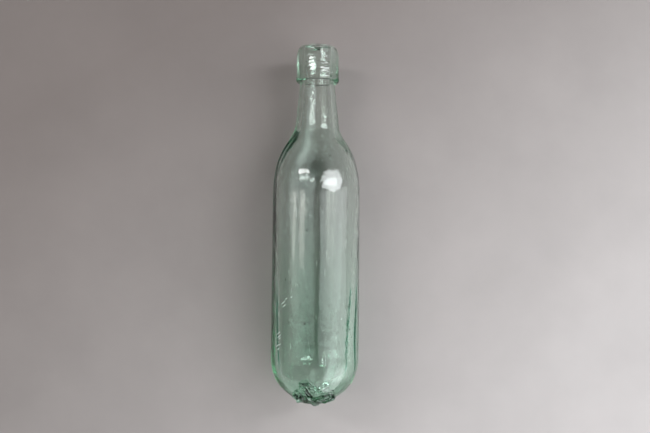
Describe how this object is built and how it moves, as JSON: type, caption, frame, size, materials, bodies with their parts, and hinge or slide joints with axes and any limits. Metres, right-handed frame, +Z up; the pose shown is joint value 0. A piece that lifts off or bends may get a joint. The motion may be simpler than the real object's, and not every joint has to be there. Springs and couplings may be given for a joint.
{
  "type": "round-ended glass soda bottle",
  "caption": "Round-ended glass soda bottle that lies on its side: domed base with a rough pontil scar, straight barrel, sloping shoulder, tapered neck and tooled applied lip.",
  "frame": {"origin": "under the middle of the lying bottle's length, on the surface it lies on", "axes": "+Y along the bottle towards its mouth, +Z up from the surface it lies on, +X to the right seen from the base end"},
  "size_m": [0.0584, 0.2352, 0.0583],
  "materials": {
    "body_glass": "clear pale aqua-green glass, wavy, with seeds and fine scratches",
    "lip_glass": "clear pale aqua-green glass with turned tool marks",
    "scar_glass": "rough broken aqua-green glass"
  },
  "bodies": {
    "root": {"blown_body": "body_glass", "applied_lip": "lip_glass", "pontil_scar": "scar_glass"}
  },
  "joints": []
}
